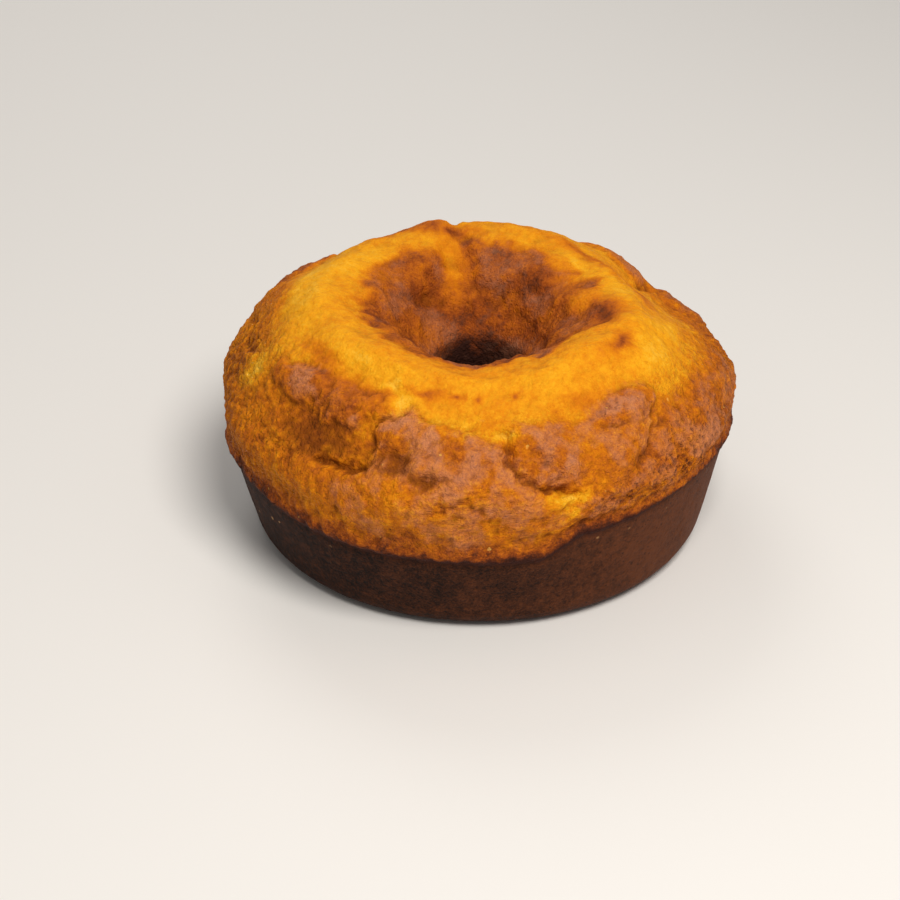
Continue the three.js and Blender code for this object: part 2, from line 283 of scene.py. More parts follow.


# Plates of crust that broke apart as the dome rose. An outline is in bearings and climbs. A plate stands
# proud by its rise, and sinks back into the dome towards its merge angle, in degrees from the right.
# bake is how brown it is, and the last number how much painted sheen lies on the plate: a purplish reflection
# of cool light on its smoother crust.
frontPlates = [
    dict(  # low left, granular
        outline=[
            (-88, 84), (-70, 82), (-58, 79), (-48, 79), (-37, 81.5), (-27, 83), (-30, 70), (-45, 60),
            (-75, 60),
        ],
        rise=1.6, edge=2.5, merge=-90, bake=0.5, haze=0,
    ),
    dict(  # right, porous
        outline=[
            (20, 72), (27, 75), (34, 77.5), (40, 82.5), (44, 87.5), (48, 92), (53, 94), (61, 93.5),
            (68, 95), (78, 94), (92, 90), (95, 70), (90, 60), (55, 57), (30, 57), (18.5, 62),
        ],
        rise=1.4, edge=3, merge=-75, bake=0.6, haze=0.45,
    ),
    dict(  # right of the middle, a smooth slope
        outline=[
            (19, 106), (28, 107), (36, 100), (44, 98.5), (48, 95), (45, 90), (41.5, 86), (37, 81.5),
            (32, 81.5), (26, 86), (21, 92),
        ],
        rise=1.9, edge=2.4, merge=-150, bake=0.56, haze=0.5,
    ),
    dict(  # right of the middle, a lump beside the gap
        outline=[
            (8, 104), (9.5, 107), (14, 107.5), (18.5, 107), (22.5, 103), (24, 96), (24.5, 89), (23.5, 83),
            (20.5, 79), (17, 80.5), (13.5, 82.5), (10, 87.5), (8, 94.5),
        ],
        rise=1.6, edge=1.6, merge=15, bake=0.57, haze=0.55,
    ),
    dict(  # upper left, in flakes
        outline=[
            (-66, 101), (-65, 106), (-58, 111), (-48, 116), (-40, 118), (-30, 118.5), (-22, 118),
            (-24, 113), (-30, 108), (-32, 99.5), (-38, 99), (-43.5, 99), (-47, 101.5), (-53, 98.5),
            (-60, 99),
        ],
        rise=3.0, edge=1.4, merge=90, bake=0.63, haze=0.2,
    ),
    dict(  # three flakes on the upper left
        outline=[
            (-61, 108), (-57, 114), (-50, 117), (-46, 113), (-45, 107), (-48, 102), (-53, 100.5),
            (-58, 103),
        ],
        rise=3.9, edge=1.2, merge=100, bake=0.63, haze=0.65,
    ),
    dict(
        outline=[
            (-45, 110), (-42, 114), (-36, 113), (-31, 108), (-31.5, 103), (-33, 99), (-37, 99.5),
            (-42, 102),
        ],
        rise=4.1, edge=1.2, merge=80, bake=0.64, haze=0.3,
    ),
    dict(
        outline=[(-35, 113), (-29, 116), (-22, 116), (-24, 110), (-29, 106), (-34, 107)],
        rise=3.8, edge=1.2, merge=70, bake=0.58, haze=0.15,
    ),
    dict(  # low front, joined to the middle plate
        outline=[
            (-25.5, 97), (-20, 104), (-8, 104), (0.5, 102), (6, 98), (7.5, 93), (9.5, 87), (13.5, 81.5),
            (20.5, 77), (18, 70), (15, 62), (-5, 58), (-22, 60), (-32, 70), (-33, 79), (-26, 83.5),
        ],
        rise=3.0, edge=1.6, merge=-85, bake=0.52, haze=0.45,
    ),
    dict(  # middle
        outline=[
            (-25.5, 98), (-26.5, 104), (-23.5, 107), (-19, 111.5), (-11, 107), (0.5, 102.5), (6, 98.5),
            (7.5, 91), (9, 84), (-8.5, 84), (-17, 85.5), (-24, 86.5),
        ],
        rise=4.6, edge=1.7, merge=-35, bake=0.57, haze=0.65,
    ),
    dict(  # upper right lobe
        outline=[
            (28, 104), (32.5, 109), (40, 112), (48, 109), (51.7, 103), (49, 99), (42.5, 97.5), (34.5, 99),
        ],
        rise=3.2, edge=1.5, merge=115, bake=0.61, haze=0.6,
    ),
]
# The rest of the dome has plates of the same kinds, in two staggered rows.
backPlates = {
    "from": 112,
    "to": 246,
    "rows": [(71, 4), (102, 4)],  # climb and count
    "stagger": 0.5,
    "corners": 12,
    "wobble": 0.2,
    "edge": 1.3,
    "draws": {  # the lowest and the highest of each draw
        "along": (0.05, 0.45),
        "climb": (-5, 5),
        "wide": (11, 17),
        "high": (10, 16),
        "rise": (2, 3.4),
        "merge": (-180, 180),
        "bake": (0.54, 0.68),
        "haze": (0.1, 0.5),
    },
    "plateSeed": 10,  # from one plate to the next
    "cornerSeed": (100, 20),  # the first, and how much faster it grows than the plate's
}
plateForm = {
    "sink": (0.1, 0.95),  # where a plate starts and ends to sink, of its reach towards the merge angle
    "edgeRise": 0.65,  # how high it stands at its edge, of its rise
    "crownFrom": 9,  # how far in it has its full rise
}


def makeBackPlates(form):
    made = []
    firstCorner, cornerStep = form["cornerSeed"]
    for row, (climb, count) in enumerate(form["rows"]):
        stride = (form["to"] - form["from"]) / count
        for number in range(count):
            seed = form["plateSeed"] * (row * count + number)
            drawn = {
                name: drawBetween(seed + order, *ends)
                for order, (name, ends) in enumerate(form["draws"].items(), 1)
            }
            bearing = form["from"] + stride * (number + form["stagger"] * row + drawn["along"])
            middle = climb + drawn["climb"]
            outline = []
            for corner in range(form["corners"]):
                turn = 2 * math.pi * corner / form["corners"]
                cornerSeed = firstCorner + cornerStep * seed + corner
                reach = 1 + form["wobble"] * drawBetween(cornerSeed, -1, 1)
                across, up = drawn["wide"] * reach * math.cos(turn), drawn["high"] * reach * math.sin(turn)
                outline.append((bearing + across, middle + up))
            look = {name: drawn[name] for name in ("rise", "merge", "bake", "haze")}
            made.append(dict(outline=outline, edge=form["edge"], **look))
    return made


def waysFrom(points, place):  # the way from each point to each place on the unrolled crust: across, up
    middle = sum(bearing for bearing, climb in points) / len(points)
    turn = fromFront(place.bearing - middle)
    return [
        np.stack([np.radians(turn - (bearing - middle)) * place.radius, place.climb - climb], 1)
        for bearing, climb in points
    ]


def legDistance(start, end):  # from the places to the stretch between two points
    leg = start - end
    share = np.clip((start * leg).sum(1) / (leg * leg).sum(1), 0, 1)
    return np.linalg.norm(start - leg * share[:, None], axis=1)


def plateCover(plate, place):  # 1 on the plate and 0 off it, and how much it stands proud
    ways = waysFrom(plate["outline"], place)
    distance = np.full(len(place.climb), np.inf)
    inside = np.zeros(len(place.climb), bool)
    for start, end in zip(ways, ways[1:] + ways[:1]):
        distance = np.minimum(distance, legDistance(start, end))
        spans = (start[:, 1] > 0) != (end[:, 1] > 0)
        rise = np.where(spans, end[:, 1] - start[:, 1], 1)
        inside ^= spans & (start[:, 0] - start[:, 1] * (end[:, 0] - start[:, 0]) / rise > 0)
    distance = np.where(inside, -distance, distance)
    middle = np.mean(ways, axis=0)
    merge = math.radians(plate["merge"])
    mergeWay = np.array([math.cos(merge), math.sin(merge)])
    towards = middle @ mergeWay
    reach = np.max([np.abs((middle - way) @ mergeWay) for way in ways], axis=0)
    cover = 1 - smooth(distance, -plate["edge"], plate["edge"])
    crown = blend(plateForm["edgeRise"], 1, smooth(-distance, 0, plateForm["crownFrom"]))
    return cover, cover * (1 - smooth(towards / reach, *plateForm["sink"])) * crown


# Splits between the plates: depth, half width, and a run of bearings and climbs
splits = [
    (2.8, 2.4, [(-37.5, 82.5), (-31, 83.8), (-25.5, 86)]),
    (1.0, 3.5, [(-26, 88), (-26.5, 99)]),
    (1.2, 2.4, [(-20, 113), (-24, 118), (-28.5, 124)]),
    (3.2, 2.4, [(6.5, 105), (7.3, 94.5), (9.3, 87), (13.3, 81.2), (21.7, 77)]),
    (0.6, 3.5, [(27, 80), (21, 75), (18.5, 69)]),
    (0.7, 2.0, [(-22, 86), (-17, 85.5), (-6, 83)]),
    (1.8, 2.4, [(49.5, 95), (45.6, 90.2), (42.5, 86.2), (37, 80.5)]),
    (1.4, 1.5, [(-7.8, 77), (-5.3, 74.5)]),
    (1.4, 1.5, [(-2.8, 76.6), (0.5, 73.6)]),
    (0.8, 1.8, [(33, 100), (38, 98.6)]),
    (2.6, 4, [(-171, 113), (-170, 130), (-172, 146)]),
    (3, 3, [(112, 86), (124, 98), (121, 114)]),
    (3, 3, [(205, 84), (212, 97), (226, 102)]),
    (2.4, 2.6, [(150, 88), (163, 84), (176, 92)]),
    (2.0, 2.6, [(-104, 90), (-96, 95), (-89, 93), (-82, 99)]),
]


def splitDepth(place):
    deepest = np.zeros(len(place.climb))
    for depth, halfWidth, run in splits:
        ways = waysFrom(run, place)
        for start, end in zip(ways, ways[1:]):
            deepest = np.maximum(deepest, depth * hump(legDistance(start, end), 0, halfWidth))
    return deepest


# Round lumps and dents: bearing, climb, radius, rise
knobs = [
    (-13.1, 88.6, 4, 5), (-9.3, 89.2, 3.2, 3), (-11.5, 83, 5, -1.8), (-18.5, 90, 5.5, -3.4),
    (20.3, 92, 6.5, 3), (13.5, 102, 6, 1.4), (17.4, 81, 5, -2), (34, 90, 9, 1), (-46, 90, 15, -3.2),
    (-3, 66, 30, 1), (-2, 80, 8, 1.4), (4, 72, 7, -0.9), (-18, 76, 9, 1.0), (-20, 100, 6, 0.9),
    (0, 144, 38, -4.5), (-143, 157, 11, 3), (146, 155, 11, 2.8), (-140, 170, 8, -2.6),
    (172, 156, 11, 3), (-164, 158, 6, -2), (-105, 156, 9, 2.2), (103, 156, 9, 2.2),
    (73, 146.5, 7, -2.2), (20, 160, 10, 1.8), (-48, 158, 9, 2), (113, 109, 34, -8), (-105, 105, 24, 3),
    (158, 137, 16, 1.6),
]
# Long swells that wind round the cake: lobes, climb step, height, phase
swells = [
    (2, 160, 0.9, 0.6), (-3, 90, 0.8, 2.1), (5, 70, 0.6, 4.4), (-9, 45, 0.45, 1.2), (14, 33, 0.35, 3.5),
]

# Patches of other grain: bearing, climb, half width, half height, strength
grainPatches = {
    "lull": [(-43, 91, 24, 11, 1)],
    "crumb": [
        (-46, 90, 22, 12, 0.15), (-60, 68, 45, 15, 1), (-88, 82, 30, 25, 0.9), (-22, 66, 26, 12, 0.8),
        (170, 92, 40, 14, 0.7),
    ],
    "pore": [
        (33, 66, 16, 10, 0.9), (48, 68, 26, 14, 1), (54, 80, 16, 11, 0.7), (70, 74, 26, 15, 0.4),
        (100, 72, 30, 16, 0.7), (200, 70, 60, 14, 0.7),
    ],
    "streak": [
        (-2, 74, 30, 13, 1), (14, 64, 20, 9, 0.8), (0, 95, 20, 10, 0.5), (20, 90, 18, 12, 0.4),
        (150, 80, 40, 16, 0.8),
    ],
    "flake": [
        (-43, 108, 32, 11, 1), (-52, 105, 18, 9, 0.8), (-10, 99, 26, 11, 0.7), (16, 96, 14, 12, 0.6),
        (40, 105, 18, 8, 0.6), (230, 104, 30, 12, 0.8),
    ],
}
# Patches of other tone, in the same order
tonePatches = {
    "yellow": [  # baked less; the last one, on the flank right of the middle, is painted light that brightens that flank
        (-22.5, 116, 5, 5, 1), (-27, 121.5, 5, 3, 0.9), (20, 75.5, 9, 3.5, 1), (19.5, 69, 4, 6, 0.7),
        (6.5, 104, 6, 3, 0.9), (-73, 95, 9, 8, 0.9), (-29, 99, 3, 5, 0.5), (-100, 126, 40, 12, 0.7),
        (62, 116, 16, 7, 0.6), (-2, 104, 14, 2, 0.4), (-8, 109, 12, 3, 0.45), (-45, 128, 30, 8, 0.5),
        (150, 128, 40, 8, 0.3), (-118, 140, 28, 6, 0.6), (98, 140, 30, 7, 0.5), (130, 146, 14, 4, 0.5),
        (20, 128, 40, 8, 0.3), (72, 118, 26, 12, 0.45), (-78, 120, 26, 12, 0.45), (45, 92, 4, 5, 0.35),
    ],
    "toast": [  # baked more
        (-150, 129, 14, 5, 0.8), (-160, 136, 9, 4, 0.8), (-170, 140, 7, 4, 0.95), (76, 146, 12, 8, 1),
        (54, 128, 8, 3.5, 0.9), (132, 134, 22, 3.5, 0.6), (105, 124, 22, 5, 0.6),
        (-6.7, 121.5, 2.6, 1.6, 0.9), (0.5, 121, 2, 1.6, 0.8), (11.5, 122.5, 2, 1.5, 0.8),
        (-16, 120.5, 7, 2.5, 0.7), (-136, 163, 7, 6, 0.6), (-100, 110, 20, 6, 0.5),
        (-55, 119, 12, 4, 0.4), (32, 113, 8, 3, 0.4),
    ],
    "haze": [  # painted sheen: a purplish reflection of cool light on the smooth crust
        (-20, 106, 9, 6, 0.9), (-12, 101, 14, 7, 0.85), (-2, 96, 14, 6, 0.65), (-13, 91, 5, 5, 0.6),
        (-5, 80, 16, 5, 0.7), (3, 75, 12, 4, 0.6), (13, 102, 9, 7, 0.75), (21, 91, 9, 8, 0.75),
        (31, 96, 10, 7, 0.55), (40, 106, 16, 6, 0.85), (-52, 108, 10, 7, 0.8), (-33, 102, 5, 4, 0.8),
        (-44, 104, 5, 4, 0.6), (60, 76, 44, 22, 0.65),
    ],
    "shade": [  # painted shade: recesses, the hollows under lumps and plates, and the left side kept dark
        (-40, 90, 24, 11, 1), (-80, 85, 26, 26, 0.45), (-12, 83.8, 6, 1.8, 0.7),
        (-18.3, 90.5, 5.5, 4.5, 1), (-20.5, 97, 6, 4, 0.5), (-6, 77.5, 8, 3, 0.3), (17.5, 81, 6, 3, 0.75),
        (-31, 84, 9, 2.4, 0.7), (38.5, 85, 3.5, 3, 0.2), (44, 101, 5, 2, 0.5), (-23, 88.5, 5, 3.5, 0.7),
    ],
    "tongue": [  # gold that runs down into the funnel
        (-164, 157, 6, 14, 1), (-118, 150, 9, 8, 0.4), (132, 149, 9, 6, 0.6), (60, 150, 12, 8, 0.5),
        (97, 155, 10, 7, 0.8), (122, 157, 8, 7, 0.6), (-134, 145, 16, 5, 0.9),
    ],
}
reliefForm = {
    "brow": (3.2, 3.4, 1.3),  # above the rim line, half width, rise
    "browCrease": (-0.6, 1.5, 0.8),  # the same for the crease under the dome's edge, with its depth
    "brokenOver": 6,  # above the rim line, where the crust is fully broken up
    "plumbFade": 14,  # above the hole, where it starts to be plain again
    "gapSink": 1.0,  # how far the dome sinks between the plates
    "gapFade": 16,
    "swellFade": 40,
    "rimDrag": (0.35, 8),  # where the rim line's rise starts, of the wall, and ends, above the bulge
    "wallFrom": (2, 8),  # climbs over which the wall's own grain starts
    "funnelFrom": (11, 19),  # past the crest, where the funnel's rough crust starts
}
grainForm = {
    "streakSqueeze": (1, 1, 4.5),  # makes the streaks lie flat and long
    "nubs": (0.22, 0.6),  # everywhere, and added low down
    "nubsFade": (92, 112),  # climbs over which the added nubs end
    "lullCalm": 0.7,
    "flakeStep": (1.1, -0.1, 0.12),  # height, and where the step between two flakes starts and ends
    "crumbOnPlates": (0.6, 0.5, 2),  # how much of it goes, and the rise of a plate where it starts and ends
}
browning = {  # 0 is pale crumb, 1 is dark crust
    "low": 0.46,  # orange crumb low down
    "gold": 0.3,  # the crest
    "goldFrom": (97, 114),  # climbs over which the crumb turns to gold
    "right": (80, 45),  # bearing and half width of the browner side
    "rightMore": 0.12,
    "rightDrop": 9,  # how much lower the gold starts there
    "grain": {"streak": (0.55, 0.9), "pore": (0.6, 0.9), "lull": (0.62, 0.7)},  # bake and share
    "yellow": 0.08,
    "funnel": 0.72,
    "toast": 0.8,
    # the tube's dark crust, darkened further as painted shade deep in the hole
    "hole": 1.05,
    "holeFrom": (-5, 6),  # of the hole's top
    # the rim line's brown crust, darkened further as painted shade where the dome curves under
    "rim": 0.98,
    "rimReach": (-1, 11),  # of the rim line
    "rimWider": [(-45, 45, 4), (50, 35, -4)],  # bearing, half width, how much more
    "spread": 1,  # steps of the grid
}
# Painted sheen: a purplish reflection of cool light, laid into the colour of the smoother crust
sheenForm = {
    "grain": {"streak": 0.5, "pore": 0.1},
    "shadeLoss": 0.6,
    "gaps": (-0.6, 0.25),  # of the noise
    "funnel": (0.45, -0.5, 0.6),  # painted purplish highlights on the funnel's lumps: share, and the noise where it starts and is full
    "spread": 2,
}
maskForm = {
    "hollowShadeSpread": 5,
    "ridgeSpread": 3,
    "ridgeHeight": 0.5,
    "domeFrom": (-2.2, 1.0),  # of the rim line
    "rimBand": (0.8, 3.2),  # above the rim line, half width
    "calmFrom": (102, 118),  # climbs
    "calmSheen": (0.1, 0.5),
    "panLight": (70, 60),  # bearing and half width of the wall's side painted paler, standing in for the light that falls from the right
}
rimLine = [  # bearing and height of the pan's rim line: the batter crept up on the right
    (-180, 44), (-120, 43.5), (-62, 42), (-28, 39.5), (12, 39), (24, 48), (54, 51.5), (125, 46), (180, 44),
]


def rimRise(bearing):
    turn = fromFront(bearing)
    rise = np.zeros_like(turn)
    for (lowAt, low), (highAt, high) in zip(rimLine, rimLine[1:]):
        inside = (turn >= lowAt) & (turn <= highAt)
        rise[inside] = low + (high - low) * smooth(turn[inside], lowAt, highAt)
    return rise - cakeForm["rimHeight"]


def rimEdge(place):  # the dome's lower edge, over the pan's wall
    above, halfWidth, rise = reliefForm["brow"]
    below, creaseWidth, depth = reliefForm["browCrease"]
    brow = (rise + layer(place.spot, "brow")) * hump(place.climb, section.rim + above, halfWidth)
    return brow - depth * hump(place.climb, section.rim + below, creaseWidth)


def rimLift(place):  # how far the rim line draws the crust up or down
    start, reach = reliefForm["rimDrag"]
    share = smooth(place.climb, start * section.rim, section.rim)
    share = share * (1 - smooth(place.climb, section.rim, section.bulge + reach))
    level = place.spot * np.array([1, 1, 0])
    return share * (rimRise(place.bearing) + layer(level, "rimLine"))


def makeCovers(place, ragged):  # where each kind of grain is
    covers = {name: patchCover(ragged, patches) for name, patches in grainPatches.items()}
    start, full = reliefForm["funnelFrom"]
    edge = ragged.climb + layer(place.spot, "funnelEdge")
    covers["funnel"] = smooth(edge, section.crest + start, section.crest + full)
    covers["funnel"] *= 1 - patchCover(ragged, tonePatches["tongue"])
    return covers


def layPlates(place, ragged, covers):  # the plates' rise, and the crust's browning and painted sheen with them
    right = hump(fromFront(place.bearing), *browning["right"])
    low = browning["low"] + browning["rightMore"] * right
    goldLine = ragged.climb + layer(place.spot, "goldEdge") + browning["rightDrop"] * right
    bake = blend(low, browning["gold"], smooth(goldLine, *browning["goldFrom"]))
    for name, (level, share) in browning["grain"].items():
        bake = blend(bake, level, share * covers[name])
    haze = sum(share * covers[name] for name, share in sheenForm["grain"].items())
    rise = np.zeros(len(place.climb))
    for plate in frontPlates + makeBackPlates(backPlates):
        cover, proud = plateCover(plate, ragged)
        rise = np.maximum(rise, plate["rise"] * proud)
        bake = blend(bake, plate["bake"], cover)
        haze = blend(haze, plate["haze"], cover)
    return rise, spreadOut(bake, browning["spread"]), spreadOut(haze, sheenForm["spread"])


def grainRelief(place, covers):
    form, spot = grainForm, place.spot
    everywhere, added = form["nubs"]
    lowDown = (1 - smooth(place.climb, *form["nubsFade"])) * (1 - form["lullCalm"] * covers["lull"])
    relief = layer(spot, "hills") + layer(spot, "hummocks")
    relief += (everywhere + added * lowDown) * (layer(spot, "nubs") - pits(spot, "nubs"))
    relief += covers["crumb"] * (layer(spot, "crumbClumps") + layer(spot, "crumbGrain"))
    relief -= covers["pore"] * (pits(spot, "pores") - layer(spot, "poreWalls"))
    relief += covers["streak"] * layer(spot * np.array(form["streakSqueeze"]), "streaks")
    height, low, high = form["flakeStep"]
    step = smooth(layer(spot, "flakes"), low, high) - 0.5  # half up, half down
    relief += covers["flake"] * height * step
    relief += covers["funnel"] * (layer(spot, "funnelLumps") + layer(spot, "funnelGrain"))
    return relief


def makeLift(place, ragged, covers, plate):  # where the crust is broken up, and how far it stands out
    form = reliefForm
    climb = place.climb
    dome = smooth(climb, section.rim, section.rim + form["brokenOver"])
    broken = dome * (1 - smooth(climb, section.holeTop - form["plumbFade"], section.holeTop))
    knob = np.zeros(len(climb))
    for bearing, knobClimb, radius, rise in knobs:
        knob += rise * spotCover(place, bearing, knobClimb, radius, radius)
    swell = np.zeros(len(climb))
    for lobes, climbStep, height, phase in swells:
        swell += height * np.sin(lobes * place.side + 2 * math.pi * climb / climbStep + phase)
    swell *= 1 - smooth(climb, section.crest, section.crest + form["swellFade"])
    sink = form["gapSink"] * (1 - smooth(climb, section.crest - form["gapFade"], section.crest))
    crust = plate - sink - splitDepth(ragged) + knob + swell + grainRelief(place, covers)
    wall = smooth(climb, *form["wallFrom"]) * (1 - dome)
    pan = wall * (layer(place.spot, "panWall") - pits(place.spot, "panWall"))
    return broken, broken * crust + rimEdge(place) + pan


def rimBrowningAndShade(place, ragged):  # 1 on the rim line, 0 above its brown edge: browned crust, darkened further as painted shade under the dome's edge
    low, high = browning["rimReach"]
    for bearing, halfWidth, more in browning["rimWider"]:
        high = high + more * hump(fromFront(place.bearing), bearing, halfWidth)
    return 1 - smooth(ragged.climb - section.rim, low, high)


def makeRelief(place):
    ragged = wander(place)
    covers = makeCovers(place, ragged)
    tones = {name: patchCover(ragged, patches) for name, patches in tonePatches.items()}
    plate, bake, haze = layPlates(place, ragged, covers)
    gone, start, full = grainForm["crumbOnPlates"]
    covers["crumb"] *= 1 - gone * smooth(plate, start, full)
    broken, lift = makeLift(place, ragged, covers, plate)
    funnel, rim = covers["funnel"], rimBrowningAndShade(place, ragged)

    holeStart, holeFull = browning["holeFrom"]
    hole = smooth(ragged.climb, section.holeTop + holeStart, section.holeTop + holeFull)
    shares = {"yellow": tones["yellow"], "funnel": funnel, "toast": tones["toast"], "hole": hole, "rim": rim}
    for name, share in shares.items():
        bake = blend(bake, browning[name], share)

    # Painted sheen, broken up and kept off the painted shade, the funnel and the rim, with painted highlights
    # on the funnel's lumps
    gaps = smooth(layer(place.spot, "sheenGaps"), *sheenForm["gaps"])
    haze = np.maximum(haze, tones["haze"]) * (1 - sheenForm["shadeLoss"] * tones["shade"])
    haze *= (1 - funnel) * gaps * (1 - rim)
    funnelShare, start, full = sheenForm["funnel"]
    funnelSheen = funnelShare * funnel * smooth(layer(place.spot, "funnelSheen"), start, full)

    form = maskForm
    # Painted shade in hollows: how far a place lies below its surroundings, plus the painted shade patches
    cavity = np.clip(spreadOut(lift, form["hollowShadeSpread"]) - lift + tones["shade"], 0, 1)
    # Painted highlight: raised bits are made paler
    ridge = np.clip((lift - spreadOut(lift, form["ridgeSpread"])) / form["ridgeHeight"], 0, 1)
    calm = smooth(ragged.climb, *form["calmFrom"]) * (1 - funnel) * (1 - smooth(haze, *form["calmSheen"]))
    domeStart, domeFull = form["domeFrom"]
    bandAbove, bandWidth = form["rimBand"]
    masks = {
        "bake": bake,
        "haze": haze + funnelSheen,
        "crumb": covers["crumb"] * broken,
        "pore": covers["pore"] * broken,
        "streak": covers["streak"] * broken,
        "cavity": cavity * broken * (1 - tones["yellow"]),
        "ridge": ridge * broken,
        "funnel": funnel,
        "dome": smooth(place.climb, section.rim + domeStart, section.rim + domeFull),
        "rim": hump(place.climb, section.rim + bandAbove, bandWidth),
        "calm": calm,
        "panLight": hump(fromFront(place.bearing), *form["panLight"]),
    }
    return lift, masks


def makeCake(form):
    place = makePlace(form)
    lift, masks = makeRelief(place)
    outward = section.outward[place.row]
    radius = place.radius + outward[:, 0] * lift
    height = np.maximum(place.spot[:, 2] + outward[:, 1] * lift + rimLift(place), 0)
    corners = np.stack([radius * np.sin(place.side), -radius * np.cos(place.side), height], 1) * mm

    rowCount, turns = len(section.points), form["turns"]
    turn, row = np.divmod(np.arange(turns * rowCount), rowCount)
    nextRow = (row + 1) % rowCount
    here, beside = turn * rowCount, (turn + 1) % turns * rowCount
    quads = np.stack([here + row, beside + row, beside + nextRow, here + nextRow], 1)
    mesh = bpy.data.meshes.new("cake")
    mesh.from_pydata(corners.tolist(), [], quads.tolist())
    mesh.shade_smooth()
    for name, values in masks.items():
        mesh.attributes.new(name, "FLOAT", "POINT").data.foreach_set("value", values.astype(np.float32))

    # One flat chart of the whole crust: round the cake across, along the section upwards
    whole = section.run[-1] + np.linalg.norm(section.points[0] - section.points[-1])
    sideways = np.stack([turn, turn + 1, turn + 1, turn], 1) / turns
    low = section.run[row] / whole
    high = np.where(row + 1 < rowCount, section.run[nextRow], whole) / whole
    chart = np.stack([sideways, np.stack([low, low, high, high], 1)], 2)
    mesh.uv_layers.new(name="OFBake").data.foreach_set("uv", chart.astype(np.float32).ravel())
    cake = bpy.data.objects.new("ringCake", mesh)
    bpy.context.scene.collection.objects.link(cake)
    print(f"cake: {len(quads) * 2} triangles")
    return cake, list(masks)


# Shader sockets that take Python's operators. Numbers go through Math nodes, colours through mix().

noiseMiddle = 0.5  # a shader noise goes from 0 to 1


class Wire:
    def __init__(self, shade, socket):
        self.shade = shade
        self.socket = socket

    def maths(self, operation, first, second):
        return self.shade.node("ShaderNodeMath", {"operation": operation}, {0: first, 1: second})

    def __add__(self, other):
        return self.maths("ADD", self, other)

    def __sub__(self, other):
        return self.maths("SUBTRACT", self, other)

    def __rsub__(self, other):
        return self.maths("SUBTRACT", other, self)

    def __mul__(self, other):
        return self.maths("MULTIPLY", self, other)

    __radd__ = __add__
    __rmul__ = __mul__

    def most(self, other):
        return self.maths("MAXIMUM", self, other)

    def ramp(self, low, high):  # 0 at low, 1 at high, eased
        settings = {"interpolation_type": "SMOOTHSTEP"}
        return self.shade.node("ShaderNodeMapRange", settings, {0: self, 1: low, 2: high})


class Shade:
    def __init__(self, name):
        self.material = bpy.data.materials.new(name)
        self.material.use_nodes = True
        self.tree = self.material.node_tree
        self.tree.nodes.clear()

    def node(self, kind, settings, inputs, output=0):
        made = self.tree.nodes.new(kind)
        for key, value in settings.items():
            if key == "stops":
                self.setStops(made.color_ramp.elements, value)
            else:
                setattr(made, key, value)
        for key, value in inputs.items():
            if isinstance(value, Wire):
                self.tree.links.new(value.socket, made.inputs[key])
            else:
                made.inputs[key].default_value = value
        return Wire(self, made.outputs[output] if made.outputs else None)

    def setStops(self, elements, stops):
        while len(elements) < len(stops):
            elements.new(1)
        for element, (position, colour) in zip(elements, stops):
            element.position, element.color = position, colour

    def mask(self, name):
        return self.node("ShaderNodeAttribute", {"attribute_name": name}, {}, "Fac")

    def vector(self, operation, inputs):
        return self.node("ShaderNodeVectorMath", {"operation": operation}, inputs)

    def place(self, stretch=(1, 1, 1)):
        where = self.node("ShaderNodeTexCoord", {}, {}, "Object")
        return self.vector("MULTIPLY", {0: where, 1: stretch})

    def noise(self, where, size, detail, rough):  # lumps of about that size in millimetres
        inputs = {"Vector": where, "Scale": 1 / (size * mm), "Detail": detail, "Roughness": rough}
        return self.node("ShaderNodeTexNoise", {}, inputs)

    def cells(self, where, size, output="Distance"):
        return self.node("ShaderNodeTexVoronoi", {}, {"Vector": where, "Scale": 1 / (size * mm)}, output)

    def bend(self, where, size, reach):  # the place shifted by noise, both in millimetres
        sway = self.node("ShaderNodeTexNoise", {}, {"Vector": where, "Scale": 1 / (size * mm)}, "Color")
        about = self.vector("SUBTRACT", {0: sway, 1: (noiseMiddle, noiseMiddle, noiseMiddle)})
        shift = self.vector("SCALE", {0: about, "Scale": 2 * reach * mm})
        return self.vector("ADD", {0: where, 1: shift})

    def mix(self, share, first, second):  # the colour sockets of a Mix node are 6 and 7, and 2 comes out
        return self.node("ShaderNodeMix", {"data_type": "RGBA"}, {0: share, 6: first, 7: second}, 2)

    def finish(self, **sockets):
        named = {key.replace("_", " "): value for key, value in sockets.items()}
        shader = self.node("ShaderNodeBsdfPrincipled", {}, named)
        self.node("ShaderNodeOutputMaterial", {}, {"Surface": shader})
        return self.material


paintCurve = {"slope": 12.92, "straightTo": 0.04045, "shift": 0.055, "power": 2.4}


def shadeOf(red, green, blue):  # a colour as a paint program shows it, from 0 to 255
    def linear(part):
        part = part / 255
        if part <= paintCurve["straightTo"]:
            return part / paintCurve["slope"]
        return ((part + paintCurve["shift"]) / (1 + paintCurve["shift"])) ** paintCurve["power"]
    return (linear(red), linear(green), linear(blue), 1)


